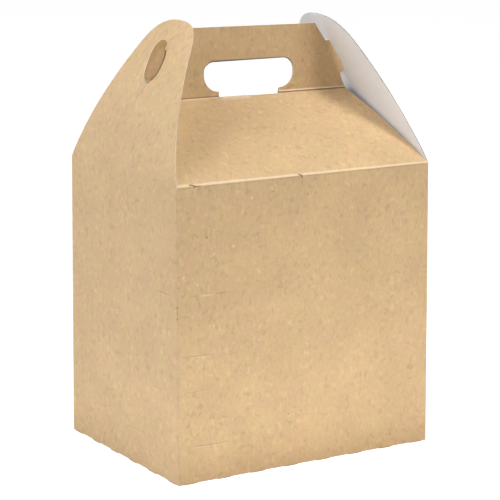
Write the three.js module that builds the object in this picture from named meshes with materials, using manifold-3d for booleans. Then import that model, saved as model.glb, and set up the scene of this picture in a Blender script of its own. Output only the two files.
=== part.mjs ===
// Gable box: one sheet of paperboard, kraft outside and white inside, folded into a square carton.
// Two roof panels lean in to a ridge, two handle panels stand face to face above it, and an ear over
// each side wall leans in and drops its oval hole over the tab at the handle's end.
// Millimetres, Z up. The origin is the centre of the footprint, on the surface the box stands on.
// The front wall faces -Y and the side walls face -X (left) and +X (right).

import * as THREE from 'three';
import { mergeVertices } from 'three/addons/utils/BufferGeometryUtils.js';
import Module from 'manifold-3d';

// Driving dimensions: board and carton
const board = 0.6; // thickness of the paperboard
const width = 203; // outside, across the front
const depth = 155; // outside, front to back
const wallHeight = 203; // table to the folds at the top of the walls
const cornerRadius = 1.0; // outside of the four upright folds
const foldRadius = 1.2; // middle of the board at the roof and handle folds

// Driving dimensions: roof and handle
const ridgeRise = 46.2; // top of the walls to the ridge
const ridgeLength = 163.6; // along the fold between roof and handle
const roofBow = 2.4; // how far a roof panel bulges between its two folds
const roofRelief = 1.0; // cut back of a roof panel at each end of its lower fold
const handleHeight = 47.8; // ridge to the top of the handle
const handleTopLength = 109.4; // straight top edge of the handle
const handleLayerGap = 0.4; // air between the two handle panels

// Driving dimensions: hand hole
const handHoleLength = 73.4;
const handHoleHeight = 21.4;
const handHoleRise = 3.8; // ridge to the lower edge of the hole
const handNotchLength = 49.4; // opening from the lower edge of the hole down to the ridge

// Driving dimensions: tab at each end of the handle
const tabFoot = 11.8; // ridge to the tab's lower edge
const tabStep = 2.4; // length of that lower edge inside the ear
const tabReach = 9; // how far the tab's belly stands outside the ear
const tabFootRound = 2.4; // pull of the belly's curve at the tab's lower corner
const tabNotchRise = 34; // ridge to the notch that the ear's board sits in
const tabNotchInset = 2.6; // notch, inside the ear's middle
const tabHookRise = 2.4; // how far the hook stands up from the notch
const tabHookWidth = 6.5; // across the hook's top

// Driving dimensions: ears
const earHeight = 101.6; // fold to the tip, measured straight up
const earLeanAtFold = 13.2; // degrees from upright
const earLeanAtTip = 34.6; // degrees from upright
const earEndClearance = 0.6; // ear's foot to the inside of the front and back walls
const earShoulderHeight = 81; // fold to the start of the rounded top, straight up
const earShoulderLength = 74; // across the ear at the shoulders
const earRoundLower = 16; // pull of the rounded top where it leaves the side
const earRoundUpper = 22; // pull of the rounded top at the tip
const earHoleWidth = 18; // across the oval hole
const earHoleClearance = 0.6; // hole past the tab at both ends
const hingeGap = 0.3; // ear's foot to the top edge of the side wall

// Driving dimensions: base and glue flaps
const closingFlapReach = 92; // from the front wall
const closingFlapTaper = 26; // how much its free edge draws in at each end
const mainFlapReach = 92; // from the back wall
const sideFlapReach = 62; // from each side wall
const sideFlapTaper = 22;
const glueFlapWidth = 18;
const glueFlapTaper = 8;

// Derived places
const sideX = width / 2;
const endY = depth / 2;
const ridgeZ = wallHeight + ridgeRise;
const handleTopZ = ridgeZ + handleHeight;
const layerY = (handleLayerGap + board) / 2; // middle of a handle panel
const hingeX = sideX - board / 2;
const hingeZ = wallHeight - board / 2;
const wallTopZ = hingeZ - board / 2 - hingeGap;
const past = 5; // how far a cutting prism runs past what it cuts

// Facets along the curves
const bendSteps = 5; // round one fold
const roofSteps = 10; // up the bulge of a roof panel
const earSteps = 16; // up an ear, and round each quarter of its outline
const bellySteps = 14; // down the tab's belly

// The middle of the ear's board, seen from the front: it leans in more and more towards the tip
const footSlope = Math.tan(THREE.MathUtils.degToRad(earLeanAtFold));
const tipSlope = Math.tan(THREE.MathUtils.degToRad(earLeanAtTip));
const earBend = (tipSlope - footSlope) / (2 * earHeight);

function earX(z) {
  const rise = z - hingeZ;
  return hingeX - rise * (footSlope + earBend * rise);
}

// Boolean kernel: a closed geometry in, a closed geometry out
const wasm = await Module();
wasm.setup();

function solid(geometry) {
  const bare = geometry.clone();
  bare.deleteAttribute('normal');
  bare.deleteAttribute('uv');
  const merged = mergeVertices(bare, 1e-5);
  const vertProperties = new Float32Array(merged.attributes.position.array);
  const triVerts = new Uint32Array(merged.index.array);
  return new wasm.Manifold(new wasm.Mesh({ numProp: 3, vertProperties, triVerts }));
}

function geometryOf(manifold) {
  const { vertProperties, triVerts } = manifold.getMesh();
  const geometry = new THREE.BufferGeometry();
  geometry.setAttribute('position', new THREE.BufferAttribute(new Float32Array(vertProperties), 3));
  geometry.setIndex(new THREE.BufferAttribute(new Uint32Array(triVerts), 1));
  geometry.computeVertexNormals();
  return geometry;
}

function halfTurned(manifold) {
  return solid(geometryOf(manifold).rotateZ(Math.PI));
}

// A flat outline made into a prism. Each plane names the directions of the outline's two axes and of
// the thickness, which starts at the given distance.
const X = new THREE.Vector3(1, 0, 0);
const Y = new THREE.Vector3(0, 1, 0);
const Z = new THREE.Vector3(0, 0, 1);
const sidePlane = [Y, Z, X];
const frontPlane = [X, Z, new THREE.Vector3(0, -1, 0)];
const floorPlane = [X, Y, Z];

function prism(shape, plane, start, thickness, curveSegments = 12) {
  const geometry = new THREE.ExtrudeGeometry(shape, { depth: thickness, bevelEnabled: false, curveSegments });
  geometry.translate(0, 0, start);
  geometry.applyMatrix4(new THREE.Matrix4().makeBasis(...plane));
  return solid(geometry);
}

function polygon(points) {
  return new THREE.Shape(points.map(([u, v]) => new THREE.Vector2(u, v)));
}

// Bent board

// Points between two ends, on a shallow curve that bulges to the left of the way from first to last
function bowedLine(first, last, bow) {
  const way = last.clone().sub(first);
  const aside = new THREE.Vector2(-way.y, way.x).normalize();
  const points = [];
  for (let i = 1; i < roofSteps; i += 1) {
    const t = i / roofSteps;
    const bulge = 4 * bow * t * (1 - t);
    points.push(way.clone().multiplyScalar(t).add(first).addScaledVector(aside, bulge));
  }
  return points;
}

// Replaces one corner of a path by an arc of the given radius
function roundedCorner(before, corner, after, radius) {
  const back = before.clone().sub(corner).normalize();
  const ahead = after.clone().sub(corner).normalize();
  const halfAngle = Math.acos(THREE.MathUtils.clamp(back.dot(ahead), -1, 1)) / 2;
  const run = radius / Math.tan(halfAngle);
  const centre = back.clone().add(ahead).setLength(radius / Math.sin(halfAngle)).add(corner);
  const first = back.clone().multiplyScalar(run).add(corner).sub(centre);
  const last = ahead.clone().multiplyScalar(run).add(corner).sub(centre);
  const turn = Math.atan2(first.cross(last), first.dot(last));
  const points = [];
  for (let k = 0; k <= bendSteps; k += 1) {
    points.push(first.clone().rotateAround(new THREE.Vector2(), (turn * k) / bendSteps).add(centre));
  }
  return points;
}

// Section of a board whose middle follows a path
function boardSection(path) {
  const left = [];
  const right = [];
  path.forEach((point, i) => {
    const before = path[Math.max(i - 1, 0)];
    const after = path[Math.min(i + 1, path.length - 1)];
    const along = after.clone().sub(before).normalize();
    const across = new THREE.Vector2(-along.y, along.x).multiplyScalar(board / 2);
    left.push(point.clone().add(across));
    right.unshift(point.clone().sub(across));
  });
  return new THREE.Shape([...left, ...right]);
}

// Handle tab, on the right: the foot, the belly outside the ear, the hook and the notch behind it.
// The hook's top lies on the arc that the edge of the ear's hole follows about the hinge.
const tabFootZ = ridgeZ + tabFoot;
const tabFootX = earX(tabFootZ);
const notchZ = ridgeZ + tabNotchRise;
const notchX = earX(notchZ) - tabNotchInset;
const hookZ = notchZ + tabHookRise;
const hookX = earX(hookZ) + board;
const swingRadius = Math.hypot(hingeX - hookX, hookZ - hingeZ);
const hookTipX = hookX + tabHookWidth;
const hookTipZ = hingeZ + Math.sqrt(swingRadius ** 2 - (hingeX - hookTipX) ** 2);
const bellyX = earX((tabFootZ + notchZ) / 2) + tabReach;

function tabBelly() {
  const foot = new THREE.Vector2(tabFootX + board, tabFootZ);
  const low = new THREE.Vector2(bellyX + tabFootRound, tabFootZ + tabFootRound);
  const high = new THREE.Vector2(bellyX, hookTipZ - tabHookWidth / 2);
  const tip = new THREE.Vector2(hookTipX, hookTipZ);
  return new THREE.CubicBezierCurve(foot, low, high, tip).getPoints(bellySteps);
}

function handleEnd() {
  return [
    new THREE.Vector2(ridgeLength / 2, ridgeZ),
    new THREE.Vector2(tabFootX - tabStep, tabFootZ),
    ...tabBelly(),
    new THREE.Vector2(hookX, hookZ),
    new THREE.Vector2(notchX, notchZ),
    new THREE.Vector2(handleTopLength / 2, handleTopZ),
  ];
}

// Front view of wall, roof and handle
function panelOutline() {
  const shoulderZ = wallHeight - foldRadius;
  const rightSide = [
    new THREE.Vector2(sideX, -past),
    new THREE.Vector2(sideX, shoulderZ),
    new THREE.Vector2(sideX - roofRelief, shoulderZ),
    ...handleEnd(),
  ];
  const leftSide = rightSide.map((point) => new THREE.Vector2(-point.x, point.y)).reverse();
  return new THREE.Shape([...rightSide, ...leftSide]);
}

function handHoleOutline() {
  const radius = handHoleHeight / 2;
  const centreX = handHoleLength / 2 - radius;
  const centreZ = ridgeZ + handHoleRise + radius;
  const hole = new THREE.Shape();
  hole.moveTo(-handNotchLength / 2, ridgeZ);
  hole.lineTo(handNotchLength / 2, ridgeZ);
  hole.lineTo(handNotchLength / 2, centreZ - radius);
  hole.absarc(centreX, centreZ, radius, -Math.PI / 2, Math.PI / 2, false);
  hole.absarc(-centreX, centreZ, radius, Math.PI / 2, (3 * Math.PI) / 2, false);
  hole.lineTo(-handNotchLength / 2, centreZ - radius);
  hole.closePath();
  return hole;
}

// Front wall, roof panel and handle panel: one board, bent at two folds
function frontPanels() {
  const foot = new THREE.Vector2(board / 2 - endY, 0);
  const shoulder = new THREE.Vector2(board / 2 - endY, wallHeight - board / 2);
  const ridge = new THREE.Vector2(-layerY, ridgeZ);
  const top = new THREE.Vector2(-layerY, handleTopZ);
  const roof = bowedLine(shoulder, ridge, roofBow);
  const path = [
    foot,
    ...roundedCorner(foot, shoulder, roof[0], foldRadius),
    ...roof,
    ...roundedCorner(roof[roof.length - 1], ridge, top, foldRadius),
    top,
  ];
  const bent = prism(boardSection(path), sidePlane, -sideX, width);
  const outline = prism(panelOutline(), frontPlane, -past, endY + 2 * past);
  const hole = prism(handHoleOutline(), frontPlane, -past, 2 * past);
  return bent.intersect(outline).subtract(hole);
}

// Right side wall, its top edge cut back and bevelled so that the ear's foot can turn over it
function sideWall() {
  const section = polygon([
    [sideX - board, 0],
    [sideX, 0],
    [sideX, wallTopZ - board / 2],
    [sideX - board / 2, wallTopZ],
    [sideX - board, wallTopZ],
  ]);
  return prism(section, frontPlane, -endY, depth);
}

// Base flaps in three layers: the closing flap lowest, then the side flaps, then the main flap
function baseFlaps() {
  const foldX = sideX - board / 2;
  const foldY = endY - board / 2;
  const freeX = foldX - sideFlapReach;
  const closingFlap = polygon([
    [-foldX, -foldY],
    [foldX, -foldY],
    [foldX - closingFlapTaper, closingFlapReach - foldY],
    [closingFlapTaper - foldX, closingFlapReach - foldY],
  ]);
  const sideFlap = polygon([
    [foldX, -foldY],
    [foldX, foldY],
    [freeX, foldY - sideFlapTaper],
    [freeX, sideFlapTaper - foldY],
  ]);
  const mainFlap = polygon([
    [foldX, foldY],
    [-foldX, foldY],
    [-foldX, foldY - mainFlapReach],
    [foldX, foldY - mainFlapReach],
  ]);
  const rightFlap = prism(sideFlap, floorPlane, board, board);
  return [
    prism(closingFlap, floorPlane, 0, board),
    rightFlap,
    halfTurned(rightFlap),
    prism(mainFlap, floorPlane, 2 * board, board),
  ];
}

// Glue flap: turned in from the back wall, against the inside of the left side wall
function glueFlap() {
  const foldY = endY - board / 2;
  const outline = polygon([
    [foldY - glueFlapWidth, glueFlapTaper],
    [foldY, board],
    [foldY, wallTopZ - board],
    [foldY - glueFlapWidth, wallTopZ - glueFlapTaper],
  ]);
  return prism(outline, sidePlane, board - sideX, board);
}

// Plan of the carton, with the four upright folds rounded
function roundedColumn() {
  const r = cornerRadius;
  const plan = new THREE.Shape();
  plan.moveTo(r - sideX, -endY);
  plan.absarc(sideX - r, r - endY, r, -Math.PI / 2, 0, false);
  plan.absarc(sideX - r, endY - r, r, 0, Math.PI / 2, false);
  plan.absarc(r - sideX, endY - r, r, Math.PI / 2, Math.PI, false);
  plan.absarc(r - sideX, r - endY, r, Math.PI, 1.5 * Math.PI, false);
  return prism(plan, floorPlane, 0, handleTopZ + past, bendSteps);
}

function cartonBody() {
  const front = frontPanels();
  const right = sideWall();
  const sheets = [front, halfTurned(front), right, halfTurned(right), ...baseFlaps(), glueFlap()];
  return sheets.reduce((whole, sheet) => whole.add(sheet)).intersect(roundedColumn());
}

// Side view of the right ear: straight sides up to the shoulders, then a rounded top
function earOutline() {
  const footY = endY - board - earEndClearance;
  const shoulderY = earShoulderLength / 2;
  const shoulderZ = hingeZ + earShoulderHeight;
  const tipZ = hingeZ + earHeight;
  const pull = new THREE.Vector2(shoulderY - footY, earShoulderHeight).setLength(earRoundLower);
  const outline = new THREE.Shape();
  outline.moveTo(-footY, hingeZ);
  outline.lineTo(footY, hingeZ);
  outline.lineTo(shoulderY, shoulderZ);
  outline.bezierCurveTo(shoulderY + pull.x, shoulderZ + pull.y, earRoundUpper, tipZ, 0, tipZ);
  outline.bezierCurveTo(-earRoundUpper, tipZ, -shoulderY - pull.x, shoulderZ + pull.y, -shoulderY, shoulderZ);
  outline.closePath();
  return outline;
}

// Height of the ear's middle at a distance from the hinge: each guess is closer than the one before
function earZAtRadius(radius) {
  const guesses = 30;
  let z = hingeZ + radius;
  for (let i = 0; i < guesses; i += 1) {
    z = hingeZ + Math.sqrt(radius ** 2 - (hingeX - earX(z)) ** 2);
  }
  return z;
}

// Oval hole, long enough for the whole tab to pass as the ear swings
function earHoleOutline() {
  const footRadius = Math.hypot(hingeX - tabFootX - board, tabFootZ - hingeZ);
  const low = earZAtRadius(footRadius - earHoleClearance);
  const high = earZAtRadius(swingRadius + earHoleClearance);
  const hole = new THREE.Shape();
  hole.absellipse(0, (low + high) / 2, earHoleWidth / 2, (high - low) / 2, 0, 2 * Math.PI, false);
  return hole;
}

function rightEar() {
  const path = [];
  for (let i = 0; i <= earSteps; i += 1) {
    const z = hingeZ + ((earHeight + past) * i) / earSteps;
    path.push(new THREE.Vector2(earX(z), z));
  }
  const bent = prism(boardSection(path), frontPlane, -endY, depth);
  const outline = prism(earOutline(), sidePlane, 0, sideX + past, earSteps);
  const hole = prism(earHoleOutline(), sidePlane, 0, sideX + past, earSteps);
  const footLength = depth - 2 * (board + earEndClearance);
  const foot = new THREE.CylinderGeometry(board / 2, board / 2, footLength, 12);
  foot.translate(hingeX, 0, hingeZ);
  return bent.intersect(outline).subtract(hole).add(solid(foot));
}

// Nodes
function named(name, geometry, color) {
  const mesh = new THREE.Mesh(geometry, new THREE.MeshStandardMaterial({ color, roughness: 0.9, metalness: 0 }));
  mesh.name = name;
  return mesh;
}

const box = new THREE.Group();
const earGeometry = geometryOf(rightEar());
const leftEar = named('left_ear', earGeometry, 0xd6b88c);
leftEar.rotation.z = Math.PI;
box.add(named('carton_body', geometryOf(cartonBody()), 0xcdae80));
box.add(named('right_ear', earGeometry, 0xd6b88c));
box.add(leftEar);

export default box;
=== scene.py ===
"""Looks of the gable box: one die-cut sheet of kraft paperboard, white inside, folded up as the real one is.

The carton is drawn flat, as its blank, and folded panel by panel. The two ears are drawn the same way,
each on its own; the real ears bend open at the fold over their side walls.
Lengths are in millimetres until a mesh is made, and in metres after that.
"""

import math

import bpy
import numpy as np
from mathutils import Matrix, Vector
from mathutils.geometry import delaunay_2d_cdt


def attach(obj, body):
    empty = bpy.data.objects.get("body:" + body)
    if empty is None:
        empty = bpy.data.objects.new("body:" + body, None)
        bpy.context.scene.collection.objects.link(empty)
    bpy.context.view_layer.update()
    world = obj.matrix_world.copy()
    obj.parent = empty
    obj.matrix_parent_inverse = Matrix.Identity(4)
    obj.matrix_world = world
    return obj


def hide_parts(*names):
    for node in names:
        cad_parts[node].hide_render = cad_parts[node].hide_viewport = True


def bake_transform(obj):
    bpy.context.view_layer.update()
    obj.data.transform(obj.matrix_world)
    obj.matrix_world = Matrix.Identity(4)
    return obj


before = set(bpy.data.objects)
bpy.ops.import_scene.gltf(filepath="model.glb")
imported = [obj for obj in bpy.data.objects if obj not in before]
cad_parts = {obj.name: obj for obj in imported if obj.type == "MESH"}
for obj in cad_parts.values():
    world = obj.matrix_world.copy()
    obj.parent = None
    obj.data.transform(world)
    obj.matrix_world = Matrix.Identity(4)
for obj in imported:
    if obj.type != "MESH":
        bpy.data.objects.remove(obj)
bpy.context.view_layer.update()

MM = 0.001

# Driving dimensions: board and carton, as in the CAD
BOARD = 0.6
WIDTH = 203.0
DEPTH = 155.0
WALL_HEIGHT = 203.0
UPRIGHT_FOLD = 0.7  # radius at the middle of the board
TOP_FOLD = 0.8
BASE_FOLD = 0.8

# Driving dimensions: roof and handle
RIDGE_RISE = 46.2
ROOF_BOW = 0.9
ROOF_RELIEF = 0.6  # the roof's side edges lie this far inside the walls' width at the fold
ROOF_SIDE_HOLLOW = -1.5
HANDLE_HEIGHT = 47.8
HANDLE_TOP_LENGTH = 109.4
HANDLE_LAYER_GAP = 0.4
BACK_LAYER_DROP = 0.8  # the back handle panel sits this much lower than the front one
HANDLE_LIFT = 0.9  # the real handle stands a little taller than it was cut, most at its left end
HANDLE_TILT = 0.0126

# Right end of the handle, in front view: from the ridge up to the top edge, x and rise over the ridge
HANDLE_FOOT = [(81.2, 0.0), (79.9, 2.6), (78.3, 5.7), (77.1, 9.2), (76.8, 11.4)]
TAB_BELLY = [
    (76.8, 11.4),
    (78.6, 12.3),
    (80.8, 13.5),
    (82.4, 15.0),
    (83.5, 17.6),
    (83.4, 20.8),
    (82.0, 25.0),
    (80.4, 28.8),
    (78.4, 33.3),
    (75.4, 38.0),
    (72.6, 40.8),
    (70.4, 42.2),
]
TAB_HOOK = [(67.6, 42.4), (66.4, 41.6), (66.2, 40.2), (67.1, 38.4), (67.8, 37.2)]
TAB_HOOK += [(68.2, 36.3), (67.6, 35.6), (66.0, 35.2), (64.6, 35.1), (63.4, 35.5)]
TAB_HELD = (66.0, 5.0)  # the ears hold the tabs down: the lift fades out over the second, towards the first

# Driving dimensions: hand hole
HAND_HOLE_LENGTH = 73.4
HAND_HOLE_HEIGHT = 21.4
HAND_HOLE_RISE = 3.8
HAND_HOLE_TOP_ROUND = 8.2
HAND_HOLE_FOOT_ROUND = 11.8
HAND_NOTCH_LENGTH = 49.4
HAND_NOTCH_DEPTH = 0.9  # below the ridge
BACK_HOLE_SAG = (0.5, 0.0)  # how far the back panel shows under the hole's top edge, at its left and right end

# Driving dimensions: ears
EAR_HEIGHT = 101.6
EAR_LEAN_AT_FOLD = math.radians(13.2)
EAR_LEAN_AT_TIP = math.radians(34.6)
EAR_END_CLEARANCE = 0.6
EAR_FOOT_HALF = (77.2, 76.4)  # of the left and the right ear, just over the fold
EAR_BACK_BOW = 1.4
EAR_SWAY = (-0.45, -0.75)  # how far the left and the right ear stand aside of the drawn bend, in x
EAR_SHOULDER_HEIGHT = 81.0
EAR_SHOULDER_LENGTH = 74.0
EAR_ROUND_LOWER = 16.0
EAR_ROUND_UPPER = ((24.0, 21.0), (22.0, 14.5))  # front and back shoulder of each ear; smaller is rounder
SWAY_RISE = 34.0  # the ears have swayed fully this far over the fold
EDGE_GREY = (0.0, 0.85)  # how grey the cut edge of the left and the right ear is painted

# Holes of the left and the right ear as they sit over the tabs: y and rise over the fold
EAR_HOLES = (
    [
        (-3.4, 82.0),
        (-5.6, 80.7),
        (-6.9, 78.4),
        (-7.8, 75.6),
        (-8.0, 72.5),
        (-7.9, 69.2),
        (-7.1, 65.9),
        (-5.7, 63.7),
        (-3.7, 62.0),
        (-1.1, 60.5),
        (1.7, 59.7),
        (4.6, 60.3),
        (8.0, 62.6),
        (10.3, 65.9),
        (10.8, 69.5),
        (10.0, 74.5),
        (7.6, 79.4),
        (4.0, 81.8),
        (0.3, 82.2),
    ],
    [
        (-1.6, 81.7),
        (-2.1, 79.5),
        (-2.6, 75.9),
        (-3.3, 72.4),
        (-4.0, 69.4),
        (-4.3, 66.4),
        (-3.9, 63.4),
        (-2.8, 60.8),
        (-0.8, 58.9),
        (2.4, 58.4),
        (5.5, 59.8),
        (8.2, 63.2),
        (9.3, 68.0),
        (9.0, 74.0),
        (7.2, 79.4),
        (4.0, 81.7),
        (0.9, 82.1),
    ],
)
EAR_START = 1.5  # the ear's piece starts this far under the hinge, on the wall
EAR_SOFT_BEND = 6.0  # the wall's board has turned into the ear this far over the hinge

# Driving dimensions: base and glue flaps
CLOSING_FLAP_REACH = 92.0
CLOSING_FLAP_TAPER = 26.0
MAIN_FLAP_REACH = 92.0
SIDE_FLAP_REACH = 62.0
SIDE_FLAP_TAPER = 22.0
GLUE_FLAP_WIDTH = 18.0
GLUE_FLAP_TAPER = 8.0
FRONT_FLAP_PLAY = 3.0
SIDE_FLAP_PLAY = 4.5
BASE_FOLD_Z = 0.45  # table to the middle of the board at all four base folds
LAYER_STEP = BOARD + 0.05
LAYER_RUN = 3.5  # each flap comes to its own layer this far in from its fold

# Driving dimensions: nicked base folds. Each cut leaves a lip of wall that the box stands on.
LIP_SPACING = 25.0
LIP_LENGTH = 16.0
LIP_HEIGHT = 2.6

# Stance of the real box: it stands a little wider at its foot than at the top of its walls
FOOT_HALF_WIDTH = 102.7
TOP_HALF_WIDTH = 101.9
FOOT_HALF_DEPTH = 78.7
TOP_HALF_DEPTH = 76.6
LEAN_RIGHT = 0.5  # at the top of the walls

# Derived places
SIDE_X = (WIDTH - BOARD) / 2
END_Y = (DEPTH - BOARD) / 2
HINGE_Z = WALL_HEIGHT - BOARD / 2
RIDGE_Z = WALL_HEIGHT + RIDGE_RISE
HANDLE_TOP_Z = RIDGE_Z + HANDLE_HEIGHT
LAYER_Y = (HANDLE_LAYER_GAP + BOARD) / 2
EAR_START_Z = HINGE_Z - EAR_START
FEET_Z = BASE_FOLD_Z + BASE_FOLD

# Grid of the meshes
GRID = 5.0
FOLD_STEPS = 8


# Lines of points


def rounded_corner(before, corner, after, radius, steps=FOLD_STEPS):
    """Points that turn a corner on an arc of the given radius."""
    before, corner, after = (np.array(p, float) for p in (before, corner, after))
    back = (before - corner) / np.linalg.norm(before - corner)
    ahead = (after - corner) / np.linalg.norm(after - corner)
    half_angle = math.acos(np.clip(back @ ahead, -1, 1)) / 2
    middle = (back + ahead) / np.linalg.norm(back + ahead)
    centre = corner + middle * radius / math.sin(half_angle)
    run = radius / math.tan(half_angle)
    first = corner + back * run - centre
    last = corner + ahead * run - centre
    turn = math.atan2(first[0] * last[1] - first[1] * last[0], first @ last)
    points = []
    for step in range(steps + 1):
        angle = turn * step / steps
        c, s = math.cos(angle), math.sin(angle)
        points.append(centre + np.array((c * first[0] - s * first[1], s * first[0] + c * first[1])))
    return points


def bowed_line(first, last, bow, steps=16):
    """Points between two ends on a shallow curve that bulges to the left of the way."""
    first, last = np.array(first, float), np.array(last, float)
    way = last - first
    aside = np.array((-way[1], way[0])) / np.linalg.norm(way)
    points = []
    for step in range(1, steps):
        t = step / steps
        points.append(first + way * t + aside * 4 * bow * t * (1 - t))
    return points


def smooth_line(corners, steps=5):
    """A flowing line through all the given points."""
    corners = [np.array(p, float) for p in corners]
    ends = [2 * corners[0] - corners[1]] + corners + [2 * corners[-1] - corners[-2]]
    points = [corners[0]]
    for a, b, c, d in zip(ends, ends[1:], ends[2:], ends[3:]):
        for step in range(1, steps + 1):
            t = step / steps
            bend = (2 * a - 5 * b + 4 * c - d) * t**2 + (3 * b - a - 3 * c + d) * t**3
            points.append(b + ((c - a) * t + bend) / 2)
    return points


def smooth_ring(corners, steps=5):
    """A flowing closed line through all the given points."""
    line = smooth_line([corners[-1], *corners, corners[0], corners[1]], steps)
    return line[steps : -steps - 1]


def bezier_line(first, first_pull, last_pull, last, steps=20):
    """Points along a curve between two ends, each end with its pull, without the first end."""
    a, b, c, d = (np.array(p, float) for p in (first, first_pull, last_pull, last))
    line = []
    for step in range(1, steps + 1):
        t = step / steps
        u = 1 - t
        line.append(a * u**3 + 3 * b * u * u * t + 3 * c * u * t * t + d * t**3)
    return line


def arc_line(centre, radius, start, end, steps=20):
    """Points along an arc, with the angles in quarter turns."""
    angles = np.linspace(start, end, steps + 1) * math.pi / 2
    return [(centre[0] + radius * math.cos(a), centre[1] + radius * math.sin(a)) for a in angles]


class BentLine:
    """A line in a plane, read by the distance along it: gives the place and the side facing right."""

    def __init__(self, points):
        self.points = np.array(points, float)
        steps = np.linalg.norm(np.diff(self.points, axis=0), axis=1)
        self.distance = np.concatenate(([0.0], np.cumsum(steps)))
        padded = np.concatenate((self.points[:1], self.points, self.points[-1:]))
        way = padded[2:] - padded[:-2]  # between a point's neighbours, so a straight run stays straight
        way /= np.linalg.norm(way, axis=1)[:, None]
        self.right = np.stack((way[:, 1], -way[:, 0]), axis=1)

    def start_at(self, point_index, value):
        """Numbers the distances so that the given point has the given value."""
        self.distance = self.distance - self.distance[point_index] + value
        return self

    def at(self, distance):
        place = [np.interp(distance, self.distance, self.points[:, i]) for i in (0, 1)]
        right = [np.interp(distance, self.distance, self.right[:, i]) for i in (0, 1)]
        size = np.hypot(*right)
        return place, [part / size for part in right]


# The plan of the walls: left wall from its free edge, front, right, back, and the glue flap inside the left
LEFT_FREE_END = END_Y - 0.3
GLUE_X = -(SIDE_X - BOARD - 0.05)
plan_corners = [
    (-SIDE_X, LEFT_FREE_END),
    (-SIDE_X, -END_Y),
    (SIDE_X, -END_Y),
    (SIDE_X, END_Y),
    (GLUE_X, END_Y),
    (GLUE_X, END_Y - GLUE_FLAP_WIDTH),
]
plan_points = [plan_corners[0]]
for before, corner, after in zip(plan_corners, plan_corners[1:], plan_corners[2:]):
    plan_points += rounded_corner(before, corner, after, UPRIGHT_FOLD)
plan_points.append(plan_corners[-1])
plan = BentLine(plan_points)

# Distances along the plan: where each upright fold starts and ends, and the middle of each wall
fold_starts = [plan.distance[1 + k * (FOLD_STEPS + 1)] for k in range(4)]
fold_ends = [plan.distance[1 + k * (FOLD_STEPS + 1) + FOLD_STEPS] for k in range(4)]
FRONT_S = (fold_ends[0] + fold_starts[1]) / 2
RIGHT_S = (fold_ends[1] + fold_starts[2]) / 2
BACK_S = fold_ends[2] + SIDE_X - UPRIGHT_FOLD
LEFT_S = fold_starts[0] - (END_Y - UPRIGHT_FOLD)


# Profiles: each panel's line from its base flap's free edge up. The first number is the distance in from
# the wall, the second the height. Along the wall, the distance up the blank is the height itself.


def base_profile(flap_reach, flap_z):
    """The start of each profile: the base flap on its own layer, then the fold at the foot of the wall."""
    beside_fold = (BASE_FOLD + 0.2, BASE_FOLD_Z)
    fold = rounded_corner(beside_fold, (0.0, BASE_FOLD_Z), (0.0, 100.0), BASE_FOLD)
    return [(flap_reach, flap_z), (LAYER_RUN, flap_z), beside_fold, *fold]


def wall_profile(flap_reach, flap_z):
    points = base_profile(flap_reach, flap_z)
    wall_start = len(points) - 1
    points.append((0.0, HINGE_Z + 10))
    return BentLine(points).start_at(wall_start, points[wall_start][1])


def roofed_profile(flap_reach, flap_z, drop):
    shoulder = (0.0, HINGE_Z)
    ridge = (END_Y - LAYER_Y, RIDGE_Z - drop)
    top = (END_Y - LAYER_Y, HANDLE_TOP_Z - drop)
    roof = bowed_line(shoulder, ridge, ROOF_BOW)
    points = base_profile(flap_reach, flap_z)
    wall_start = len(points) - 1
    points += rounded_corner((0.0, 0.0), shoulder, roof[0], TOP_FOLD)
    points += roof
    points += rounded_corner(roof[-1], ridge, top, TOP_FOLD)
    points.append(top)
    return BentLine(points).start_at(wall_start, points[wall_start][1])


closing_z = BASE_FOLD_Z
side_flap_z = BASE_FOLD_Z + LAYER_STEP
main_flap_z = BASE_FOLD_Z + 2 * LAYER_STEP
front_profile = roofed_profile(CLOSING_FLAP_REACH, closing_z, 0.0)
back_profile = roofed_profile(MAIN_FLAP_REACH, main_flap_z, BACK_LAYER_DROP)
side_profile = wall_profile(SIDE_FLAP_REACH, side_flap_z)
bare_wall = BentLine([(0.0, 0.0), (0.0, HINGE_Z + 10)])

# Distances up the blank: the folds of the front and back panels
RIDGE_V = front_profile.distance[-1] - HANDLE_HEIGHT
BACK_RIDGE_V = back_profile.distance[-1] - HANDLE_HEIGHT


def folded(s, v, profile):
    """Where a point of the blank comes to lie, and the direction that its outside faces."""
    (x, y), (out_x, out_y) = plan.at(s)
    (inward, z), (right_in, right_up) = profile.at(v)
    place = np.stack((x - out_x * inward, y - out_y * inward, z), axis=1)
    facing = np.stack((out_x * right_in, out_y * right_in, -right_up), axis=1)
    return place, facing


def roofed(profile, middle, way):
    """The fold of a roof and handle panel. Its side edges run on past the walls' upright folds."""

    def fold(s, v):
        straight = SIDE_X - UPRIGHT_FOLD
        on_wall = np.clip(s, middle - straight, middle + straight)
        place, facing = folded(on_wall, v, profile)
        place[:, 0] += (s - on_wall) * way
        over_ridge = np.clip((place[:, 2] - RIDGE_Z) / HANDLE_HEIGHT, 0, 1)
        free = np.clip((TAB_HELD[0] - np.abs(place[:, 0])) / TAB_HELD[1], 0, 1)
        place[:, 2] += (HANDLE_LIFT - HANDLE_TILT * place[:, 0]) * over_ridge * free
        return place, facing

    return fold


def settled(places):
    """The whole box as it stands: wider at its foot, and leaning a hair to the right."""
    x, y, z = places.T
    up = np.clip(z / HINGE_Z, 0, 1)
    half_width = FOOT_HALF_WIDTH + (TOP_HALF_WIDTH - FOOT_HALF_WIDTH) * up
    half_depth = FOOT_HALF_DEPTH + (TOP_HALF_DEPTH - FOOT_HALF_DEPTH) * up
    return np.stack((x * half_width * 2 / WIDTH + LEAN_RIGHT * up, y * half_depth * 2 / DEPTH, z), axis=1)


# Drawing and meshing a flat sheet


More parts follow.
